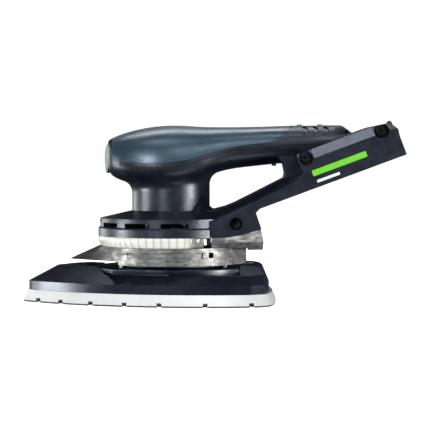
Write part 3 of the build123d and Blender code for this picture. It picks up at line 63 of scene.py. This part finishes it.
class Shader:
    """A node tree with one Principled shader, and short ways to build its inputs. Lengths are in metres."""

    def __init__(self, name):
        self.material = bpy.data.materials.new(name)
        self.material.use_nodes = True
        self.tree = self.material.node_tree
        self.main = self.tree.nodes["Principled BSDF"]
        self.place = self.tree.nodes.new("ShaderNodeTexCoord").outputs["Object"]

    def node(self, kind, **settings):
        made = self.tree.nodes.new(kind)
        for key, value in settings.items():
            setattr(made, key, value)
        return made

    def link(self, output, target):
        self.tree.links.new(output, target)

    def feed(self, target, value):
        if isinstance(value, bpy.types.NodeSocket):
            self.link(value, target)
        else:
            target.default_value = value

    def math(self, operation, a, b=0.0, c=0.0):
        made = self.node("ShaderNodeMath", operation=operation)
        for target, value in zip(made.inputs, (a, b, c)):
            self.feed(target, value)
        return made.outputs[0]

    def stretched(self, x, y, z):
        made = self.node("ShaderNodeMapping")
        made.inputs["Scale"].default_value = (x, y, z)
        self.link(self.place, made.inputs["Vector"])
        return made.outputs[0]

    def noise(self, size, detail=3.0, rough=0.5, place=None, distortion=0.0):
        """Noise with features of about this size."""
        made = self.node("ShaderNodeTexNoise")
        self.link(place or self.place, made.inputs["Vector"])
        made.inputs["Scale"].default_value = 1.0 / size
        made.inputs["Detail"].default_value = detail
        made.inputs["Roughness"].default_value = rough
        made.inputs["Distortion"].default_value = distortion
        return made.outputs["Fac"]

    def cells(self, size, feature="F1", place=None):
        made = self.node("ShaderNodeTexVoronoi", feature=feature)
        self.link(place or self.place, made.inputs["Vector"])
        made.inputs["Scale"].default_value = 1.0 / size
        return made.outputs["Distance"]

    def span(self, value, low, high, start=0.35, end=0.65):
        """value's range start to end stretched over low to high."""
        made = self.node("ShaderNodeMapRange")
        self.link(value, made.inputs["Value"])
        for key, number in (("From Min", start), ("From Max", end), ("To Min", low), ("To Max", high)):
            made.inputs[key].default_value = number
        return made.outputs["Result"]

    def ramp(self, value, *stops):
        """Colours along a value: (position, (r, g, b)) each."""
        made = self.node("ShaderNodeValToRGB")
        self.link(value, made.inputs["Fac"])
        bar = made.color_ramp.elements
        while len(bar) < len(stops):
            bar.new(0.5)
        for element, (position, colour) in zip(bar, stops):
            element.position = position
            element.color = (*colour, 1.0)
        return made.outputs["Color"]

    def blend(self, factor, a, b):
        made = self.node("ShaderNodeMix", data_type="RGBA")
        self.feed(made.inputs[0], factor)
        for target, colour in ((made.inputs[6], a), (made.inputs[7], b)):
            self.feed(target, colour if isinstance(colour, bpy.types.NodeSocket) else (*colour, 1.0))
        return made.outputs[2]

    def edges(self, low=0.52, high=0.62):
        """Near 1 on sharp convex edges, where handling rubs the surface."""
        made = self.node("ShaderNodeNewGeometry")
        return self.span(made.outputs["Pointiness"], 0.0, 1.0, low, high)

    def axes(self):
        made = self.node("ShaderNodeSeparateXYZ")
        self.link(self.place, made.inputs[0])
        return made.outputs

    def bump(self, *layers):
        """Height layers, each (height, depth in metres)."""
        normal = None
        for height, depth in layers:
            made = self.node("ShaderNodeBump")
            made.inputs["Strength"].default_value = 1.0
            made.inputs["Distance"].default_value = depth
            self.link(height, made.inputs["Height"])
            if normal is not None:
                self.link(normal, made.inputs["Normal"])
            normal = made.outputs["Normal"]
        self.link(normal, self.main.inputs["Normal"])

    def set(self, **inputs):
        """Inputs of the Principled shader by name, with _ for a space. A colour may be three numbers."""
        for key, value in inputs.items():
            if isinstance(value, tuple):
                value = (*value, 1.0)
            self.feed(self.main.inputs[key.replace("_", " ")], value)


def plastic(name, colour, vary=0.18, roughness=(0.38, 0.5), grain=0.0005, depth=0.00003, specular=0.5):
    """Moulded plastic: spark-eroded grain, faint mottling, and edges that handling has polished lighter."""
    s = Shader(name)
    light = tuple(min(1.0, c * (1 + vary)) for c in colour)
    dark = tuple(c * (1 - vary) for c in colour)
    rubbed = tuple(min(1.0, c * 1.9 + 0.004) for c in colour)
    glint = tuple(min(1.0, c * 1.7) for c in colour)
    mottle = s.ramp(s.noise(0.012, 4.0), (0.35, dark), (0.65, light))
    speck = s.span(s.noise(grain, 1.0), 0.0, 0.35, 0.42, 0.7)
    base = s.blend(speck, mottle, glint)
    rub = s.math("MULTIPLY", s.edges(), s.span(s.noise(0.004, 3.0), 0.1, 0.5))
    s.set(Base_Color=s.blend(rub, base, rubbed), Roughness=s.span(s.noise(0.006, 4.0), *roughness))
    s.main.inputs["Specular IOR Level"].default_value = specular
    s.main.inputs["Specular Tint"].default_value = (0.84, 0.9, 1.0, 1.0)
    s.bump((s.noise(grain, 3.0, 0.6), depth), (s.noise(0.02, 1.0), depth * 2.0))
    return s.material


def rubber(name, colour, sheen, roughness=(0.5, 0.62)):
    """Soft-touch rubber: satin, with a fine even stipple and a velvety edge."""
    s = Shader(name)
    depth = 0.00004
    light = tuple(min(1.0, c * 1.16) for c in colour)
    dark = tuple(c * 0.86 for c in colour)
    mottle = s.ramp(s.noise(0.016, 5.0, 0.6), (0.3, dark), (0.7, light))
    handled = s.span(s.noise(0.03, 2.0, 0.4), 0.0, 0.3, 0.45, 0.7)
    s.set(
        Base_Color=s.blend(handled, mottle, tuple(c * 1.25 for c in colour)),
        Roughness=s.span(s.noise(0.01, 3.0), *roughness),
    )
    s.main.inputs["Sheen Weight"].default_value = sheen
    s.main.inputs["Sheen Roughness"].default_value = 0.45
    s.main.inputs["Specular IOR Level"].default_value = 0.6
    s.main.inputs["Specular Tint"].default_value = (0.74, 0.87, 1.0, 1.0)
    s.bump((s.cells(0.0007, "SMOOTH_F1"), depth), (s.noise(0.0009, 2.0), depth * 0.6))
    return s.material


def metal(name, dark, light, roughness=(0.28, 0.42), patch=0.004):
    """Bare metal with a mottled surface, in patches of about this size."""
    s = Shader(name)
    depth = 0.00002
    cloud = s.noise(patch, 6.0, 0.62)
    fine = s.noise(0.0006, 3.0, 0.6)
    tone = s.math("ADD", s.math("MULTIPLY", cloud, 0.72), s.math("MULTIPLY", fine, 0.28))
    s.set(Base_Color=s.ramp(tone, (0.38, dark), (0.62, light)), Roughness=s.span(tone, *roughness))
    s.main.inputs["Metallic"].default_value = 1.0
    s.bump((fine, depth), (cloud, depth * 1.6))
    return s.material


def hood_metal():
    """The dust hood's bare blasted metal: streaked round the drum and blotched, with painted shade darker
    towards the beak.
    """
    s = Shader("hood_metal")
    streaks = s.noise(0.0028, 5.0, 0.6, s.stretched(0.55, 0.55, 2.4))
    blotches = s.noise(0.007, 6.0, 0.68, s.stretched(1.0, 1.0, 1.5), 0.6)
    fine = s.noise(0.0005, 3.0, 0.6)
    tone = s.math("ADD", s.math("MULTIPLY", streaks, 0.45), s.math("MULTIPLY", blotches, 0.55))
    dark, middle, light = (0.055, 0.055, 0.053), (0.14, 0.14, 0.136), (0.32, 0.32, 0.31)
    colour = s.ramp(tone, (0.36, dark), (0.5, middle), (0.64, light))
    x = s.axes()["X"]
    # painted shade: the hood darkens towards the beak
    behind_beak = s.span(x, 0.2, 1.0, -0.042, -0.02)
    colour = s.blend(behind_beak, (0.03, 0.03, 0.029), colour)
    s.set(Base_Color=colour, Roughness=s.span(tone, 0.56, 0.4))
    s.main.inputs["Metallic"].default_value = 0.92
    s.bump((fine, 0.00003), (blotches, 0.00009))
    return s.material


def light_diffuser():
    """The milky ring, lit from behind and unlit at both ends, with a painted highlight on each rib and
    painted shade in the creases.
    """
    s = Shader("light_diffuser")
    x, y, _ = s.axes()
    turn = s.math("ARCTAN2", y, x)
    rib = s.math("ABSOLUTE", s.math("SINE", s.math("MULTIPLY", turn, RIBS_PER_TURN / 2)))
    ends = s.math("MULTIPLY", s.span(x, 1.0, 0.03, 0.0095, 0.0145), s.span(x, 0.35, 1.0, -0.0435, -0.035))
    # painted highlight on each rib and painted shade in its creases
    glow = s.math("MULTIPLY", ends, s.span(rib, 0.38, 0.72, 0.0, 0.6))
    patches = s.span(s.noise(0.009, 3.0), 0.85, 1.0)
    milk = s.ramp(s.noise(0.004, 3.0), (0.3, (0.12, 0.12, 0.115)), (0.7, (0.15, 0.15, 0.142)))
    s.set(Base_Color=milk, Roughness=s.span(s.noise(0.003, 2.0), 0.25, 0.4))
    s.main.inputs["Emission Color"].default_value = (1.0, 1.0, 0.93, 1.0)
    s.link(s.math("MULTIPLY", glow, patches), s.main.inputs["Emission Strength"])
    s.main.inputs["Coat Weight"].default_value = 0.3
    s.bump((s.noise(0.0008, 2.0), 0.00002))
    return s.material


def foam():
    """Pale closed-cell foam: tiny pores, painted shade towards its back end, faint dirt towards the sanding
    face.
    """
    s = Shader("pad_foam")
    x, _, z = s.axes()
    cell = s.cells(0.0011)
    tint = s.ramp(s.noise(0.02, 4.0), (0.3, (0.51, 0.51, 0.505)), (0.7, (0.58, 0.58, 0.575)))
    pores = s.span(cell, 0.35, 0.0, 0.0, 0.35)
    dirt = s.math("MULTIPLY", s.span(z, 0.35, 0.0, 0.0008, 0.0035), s.noise(0.006, 4.0))
    base = s.blend(pores, tint, (0.48, 0.48, 0.47))
    # painted shade: the foam darkens towards its back end
    painted_rear_shade = s.span(x, 0.0, 0.7, 0.03, 0.06)
    base = s.blend(painted_rear_shade, base, (0.2, 0.2, 0.196))
    s.set(Base_Color=s.blend(dirt, base, (0.42, 0.41, 0.38)), Roughness=s.span(s.noise(0.002), 0.75, 0.9))
    s.main.inputs["Specular IOR Level"].default_value = 0.25
    s.bump((cell, 0.00012), (s.noise(0.004, 3.0), 0.00015))
    return s.material


def hooks():
    """Hook fabric: rows of tiny dark hooks."""
    s = Shader("hook_fabric")
    rows = s.cells(0.0009, "F1", s.stretched(1.0, 1.6, 1.0))
    shade = s.ramp(rows, (0.1, (0.05, 0.05, 0.055)), (0.6, (0.01, 0.01, 0.012)))
    s.set(Base_Color=shade, Roughness=s.span(rows, 0.7, 0.95))
    s.main.inputs["Sheen Weight"].default_value = 0.3
    s.bump((rows, 0.0003))
    return s.material


def laminations():
    """Thin steel sheets stacked along the motor's axis."""
    s = Shader("lamination_steel")
    z = s.axes()["Z"]
    sheet = s.math("SINE", s.math("MULTIPLY", z, 2 * math.pi / SHEET_THICKNESS))
    shade = s.ramp(s.span(sheet, 0, 1, -1, 1), (0.1, (0.09, 0.09, 0.095)), (0.7, (0.33, 0.33, 0.34)))
    s.set(Base_Color=shade, Roughness=s.span(s.noise(0.001), 0.35, 0.55))
    s.main.inputs["Metallic"].default_value = 0.9
    s.bump((sheet, 0.00004))
    return s.material


def winding():
    """Enamelled copper wire, wound turn by turn."""
    s = Shader("copper_wire")
    x, y, _ = s.axes()
    turn = s.math("SINE", s.math("MULTIPLY", s.math("ADD", x, y), 2 * math.pi / WIRE_PITCH))
    shade = s.ramp(s.span(turn, 0, 1, -1, 1), (0.1, (0.16, 0.045, 0.015)), (0.8, (0.72, 0.3, 0.11)))
    s.set(Base_Color=shade, Roughness=s.span(s.noise(0.001), 0.2, 0.4))
    s.main.inputs["Metallic"].default_value = 0.85
    s.main.inputs["Coat Weight"].default_value = 0.6
    s.bump((turn, 0.00006))
    return s.material


def circuit():
    """Green lacquered board with copper tracks under the lacquer."""
    s = Shader("circuit_board")
    track = s.cells(0.0035, "DISTANCE_TO_EDGE", s.stretched(1.0, 2.0, 1.0))
    mask = s.span(track, 1.0, 0.0, 0.03, 0.09)
    green = s.ramp(s.noise(0.003, 2.0), (0.3, (0.004, 0.055, 0.022)), (0.7, (0.006, 0.08, 0.03)))
    s.set(Base_Color=s.blend(mask, green, (0.03, 0.18, 0.06)), Roughness=s.span(s.noise(0.002), 0.22, 0.36))
    s.bump((mask, 0.00003))
    return s.material


def printed(name, colour):
    """A printed or inlaid accent: even ink with a faint mottle."""
    s = Shader(name)
    deep = tuple(c * 0.88 for c in colour)
    ink = s.ramp(s.noise(0.0025, 3.0), (0.3, deep), (0.7, colour))
    s.set(Base_Color=ink, Roughness=s.span(s.noise(0.001), 0.3, 0.42))
    s.bump((s.noise(0.0006, 2.0), 0.00001))
    return s.material


MATERIALS = {
    "body_plastic": plastic(
        "body_plastic", (0.0036, 0.0045, 0.0088), roughness=(0.31, 0.4), grain=0.0011, depth=0.00009
    ),
    "soft_grip": rubber("soft_grip", (0.0115, 0.027, 0.039), sheen=0.1, roughness=(0.31, 0.39)),
    "cap_plastic": plastic(
        "cap_plastic", (0.014, 0.016, 0.024), roughness=(0.4, 0.55), grain=0.0007, depth=0.00007
    ),
    "green_plastic": plastic(
        "green_plastic", (0.12, 0.36, 0.02), vary=0.08, roughness=(0.3, 0.4), depth=0.00001, specular=0.3
    ),
    "light_trim": plastic("light_trim", (0.36, 0.37, 0.4), vary=0.06, roughness=(0.25, 0.35)),
    "black_plastic": plastic("black_plastic", (0.009, 0.009, 0.011), roughness=(0.4, 0.55)),
    "spring_steel": metal("spring_steel", (0.35, 0.35, 0.36), (0.7, 0.7, 0.72), patch=0.001),
    "circuit_board": circuit(),
    "bare_aluminium": metal(
        "bare_aluminium", (0.42, 0.43, 0.44), (0.66, 0.67, 0.68), roughness=(0.32, 0.48)
    ),
    "wire_rubber": rubber("wire_rubber", (0.22, 0.015, 0.012), sheen=0.05),
    "contact_brass": metal("contact_brass", (0.6, 0.42, 0.16), (0.86, 0.66, 0.32), patch=0.002),
    "bare_steel": metal(
        "bare_steel", (0.36, 0.36, 0.37), (0.62, 0.62, 0.64), roughness=(0.2, 0.34), patch=0.003
    ),
    "trim_plastic": plastic(
        "trim_plastic", (0.056, 0.059, 0.077), roughness=(0.34, 0.46), grain=0.0006, depth=0.00005
    ),
    "green_print": printed("green_print", (0.12, 0.44, 0.022)),
    "white_print": printed("white_print", (0.6, 0.61, 0.63)),
    # near-black screw heads: dark steel, darkened further as painted shade of the deep pockets they sit in
    "screw_steel": metal(
        "screw_steel", (0.012, 0.012, 0.014), (0.035, 0.035, 0.04), roughness=(0.4, 0.55), patch=0.001
    ),
    "hood_metal": hood_metal(),
    "black_rubber": rubber("black_rubber", (0.008, 0.008, 0.01), sheen=0.1),
    "light_diffuser": light_diffuser(),
    "led_white": printed("led_white", (0.9, 0.88, 0.75)),
    "lamination_steel": laminations(),
    "copper_wire": winding(),
    "hook_fabric": hooks(),
    "pad_foam": foam(),
    "platen_plastic": plastic(
        "platen_plastic", (0.0022, 0.003, 0.0078), roughness=(0.28, 0.34), grain=0.0008, depth=0.00002
    ),
}

for part in frame["record"]["subparts"]:
    piece = NODES[part["node"]]
    piece.data.materials.clear()
    piece.data.materials.append(MATERIALS[part["material_slot"]])


# ---- light ring: a milky moulding with upright ribs ----------------------------------------------

STEPS_PER_RIB = 10
CREASE_DEPTH = 0.00042
RING_END = math.radians(118.0)  # the CAD ring covers this much each way from the front
ring_low, ring_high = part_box("light_ring")
RING_OUTER = -ring_low.x
RING_WALL = 0.0044


def ribbed_ring():
    """The ring's section, swept round the motor axis, with each rib bulging between two sharp creases."""
    tall = ring_high.z - ring_low.z
    profile = (  # inwards from the outer face, and height as a share
        (RING_WALL, 1.0),
        (0.0003, 1.0),
        (0.0, 0.93),
        (0.0001, 0.62),
        (0.0005, 0.3),
        (0.0012, 0.1),
        (0.002, 0.0),
        (RING_WALL, 0.0),
    )
    steps = int(2 * RING_END / (2 * math.pi) * RIBS_PER_TURN * STEPS_PER_RIB)
    mesh = bmesh.new()
    rows = []
    for i in range(steps + 1):
        angle = math.pi - RING_END + 2 * RING_END * i / steps
        crease = 1.0 - abs(math.sin(angle * RIBS_PER_TURN / 2)) ** 0.6
        row = []
        for inward, share in profile:
            creased = inward < RING_WALL and share < 0.97
            depth = inward + (CREASE_DEPTH * crease if creased else 0.0)
            radius = RING_OUTER - depth
            x, y = radius * math.cos(angle), radius * math.sin(angle)
            row.append(mesh.verts.new((x, y, ring_low.z + tall * share)))
        rows.append(row)
    count = len(profile)
    for first, second in zip(rows, rows[1:]):
        for k in range(count):
            after = (k + 1) % count
            mesh.faces.new((first[k], first[after], second[after], second[k]))
    mesh.faces.new(rows[0][::-1])
    mesh.faces.new(rows[-1])
    bmesh.ops.recalc_face_normals(mesh, faces=mesh.faces)
    return mesh


def add_piece(mesh, name, material, body, replaced):
    """A finished bmesh as a piece that rides on a body and stands for a CAD node."""
    data = bpy.data.meshes.new(name)
    mesh.to_mesh(data)
    mesh.free()
    piece = bpy.data.objects.new(name, data)
    bpy.context.scene.collection.objects.link(piece)
    data.materials.append(MATERIALS[material])
    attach(piece, body)
    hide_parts(replaced)
    return piece


ring_piece = add_piece(
    ribbed_ring(), "ribbed_light_ring", "light_diffuser", "housing", "light_ring"
)
for face in ring_piece.data.polygons:
    face.use_smooth = True


# ---- foam pad: the CAD outline, softened and crowned ---------------------------------------------

foam_low, foam_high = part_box("pad_foam")
FOAM_CUTS = (0.12, 0.3, 0.5, 0.7, 0.88)  # heights of the bands' edges, as shares
FOAM_BULGE = 0.0003
FOAM_INSET = 0.0001  # keeps the bulge inside the CAD outline
FOAM_RIPPLE = 0.00008


def soft_pad():
    """The foam's outline with a slightly crowned, uneven edge, cut into bands so that it can bulge."""
    tall = foam_high.z - foam_low.z
    mesh = bmesh.new()
    mesh.from_mesh(NODES["pad_foam"].data)
    for share in FOAM_CUTS:
        everything = mesh.verts[:] + mesh.edges[:] + mesh.faces[:]
        level = Vector((0.0, 0.0, foam_low.z + share * tall))
        bmesh.ops.bisect_plane(mesh, geom=everything, dist=1e-6, plane_co=level, plane_no=(0.0, 0.0, 1.0))
    mesh.normal_update()
    for vertex in mesh.verts:
        share = (vertex.co.z - foam_low.z) / tall
        bulge = FOAM_BULGE * math.sin(math.pi * share) - FOAM_INSET
        sideways = Vector((vertex.normal.x, vertex.normal.y, 0.0))
        if 0.05 < share < 0.95:  # the flat faces stay as they are
            vertex.co += sideways * (bulge + FOAM_RIPPLE * noise.noise(vertex.co * 160.0))
    return mesh


foam_piece = add_piece(soft_pad(), "soft_pad", "pad_foam", "pad", "pad_foam")


# ---- studio --------------------------------------------------------------------------------------

MIDDLE = Vector((0.026, 0.0, 0.055))  # of the tool


def soft_box(name, direction, distance, width, height, radiance, colour=(1.0, 1.0, 1.0)):
    """A softbox seen from the tool in this direction. Radiance is what its reflection shows."""
    data = bpy.data.lights.new(name, "AREA")
    data.shape, data.size, data.size_y = "RECTANGLE", width, height
    data.energy, data.color = radiance * math.pi * width * height, colour
    lamp = bpy.data.objects.new(name, data)
    bpy.context.scene.collection.objects.link(lamp)
    lamp.location = MIDDLE + Vector(direction).normalized() * distance
    lamp.rotation_mode = "QUATERNION"
    lamp.rotation_quaternion = (MIDDLE - lamp.location).to_track_quat("-Z", "Y")
    lamp.visible_camera = False


COOL = (0.93, 0.97, 1.0)
# name, direction, distance, width, height, radiance
soft_box("left_front", (-0.97, -0.18, -0.15), 0.95, 0.24, 0.26, 38.0)
soft_box("left_back", (-0.78, 0.62, 0.08), 0.95, 0.4, 0.45, 5.2)
soft_box("right_front", (0.86, -0.51, 0.0), 0.95, 0.22, 0.4, 46.0)
soft_box("right_back", (0.88, 0.47, 0.1), 0.95, 0.4, 0.42, 2.6)
soft_box("top_back", (-0.08, 0.48, 0.88), 1.0, 0.7, 0.3, 9.0, COOL)
soft_box("top_front", (-0.1, -0.45, 0.87), 1.0, 0.6, 0.2, 8.0, COOL)
soft_box("head_key", (-0.41, -0.88, 0.22), 0.5, 0.07, 0.055, 108.0, COOL)
soft_box("handle_key", (0.28, -0.84, 0.47), 0.95, 0.36, 0.1, 20.0, COOL)
soft_box("floor_bounce", (0.33, -0.60, -0.72), 0.95, 0.4, 0.2, 5.0, COOL)

world = bpy.data.worlds.new("studio")
bpy.context.scene.world = world
world.use_nodes = True
world.node_tree.nodes["Background"].inputs["Color"].default_value = (0.82, 0.9, 1.0, 1.0)
world.node_tree.nodes["Background"].inputs["Strength"].default_value = 0.04

# one pale sweep: a round floor that curves up into a dome
SWEEP_RINGS = ((0.6, 0.0), (1.6, 0.0), (2.6, 0.12), (3.4, 0.7), (3.9, 1.6), (4.0, 3.0))  # radius, height
SWEEP_SIDES = 64
FLOOR_GAP = 0.0002  # below the sanding face
stage_mesh = bmesh.new()
loops = []
for radius, height in SWEEP_RINGS:
    ring = []
    for i in range(SWEEP_SIDES):
        angle = 2 * math.pi * i / SWEEP_SIDES
        x, y = radius * math.cos(angle), radius * math.sin(angle)
        ring.append(stage_mesh.verts.new((x, y, height - FLOOR_GAP)))
    loops.append(ring)
stage_mesh.faces.new(loops[0])
for inner, outer in zip(loops, loops[1:]):
    for i in range(SWEEP_SIDES):
        after = (i + 1) % SWEEP_SIDES
        stage_mesh.faces.new((inner[i], outer[i], outer[after], inner[after]))
stage_data = bpy.data.meshes.new("sweep")
stage_mesh.to_mesh(stage_data)
stage_mesh.free()
sweep = bpy.data.objects.new("sweep", stage_data)
bpy.context.scene.collection.objects.link(sweep)
for face in stage_data.polygons:
    face.use_smooth = True
paper = Shader("sweep")
paper.set(Base_Color=(0.8, 0.8, 0.8), Roughness=0.9)
paper.main.inputs["Emission Color"].default_value = (1.0, 1.0, 1.0, 1.0)
paper.main.inputs["Emission Strength"].default_value = 1.02
stage_data.materials.append(paper.material)
sweep.visible_glossy = False
sweep.visible_diffuse = False
sweep.visible_shadow = False


# ---- camera --------------------------------------------------------------------------------------

LOOK_DOWN = 2.0  # degrees
camera_data = bpy.data.cameras.new("camera")
camera_data.sensor_width = 36.0
camera_data.lens = 134.1
camera_data.clip_start, camera_data.clip_end = 0.05, 20.0
camera = bpy.data.objects.new("camera", camera_data)
bpy.context.scene.collection.objects.link(camera)
camera.location = (0.0261, -0.950, 0.084)
camera.rotation_euler = (math.radians(90 - LOOK_DOWN), 0.0, 0.0)
bpy.context.scene.camera = camera
bpy.context.scene.view_settings.view_transform = "Standard"
bpy.context.scene.view_settings.look = "None"
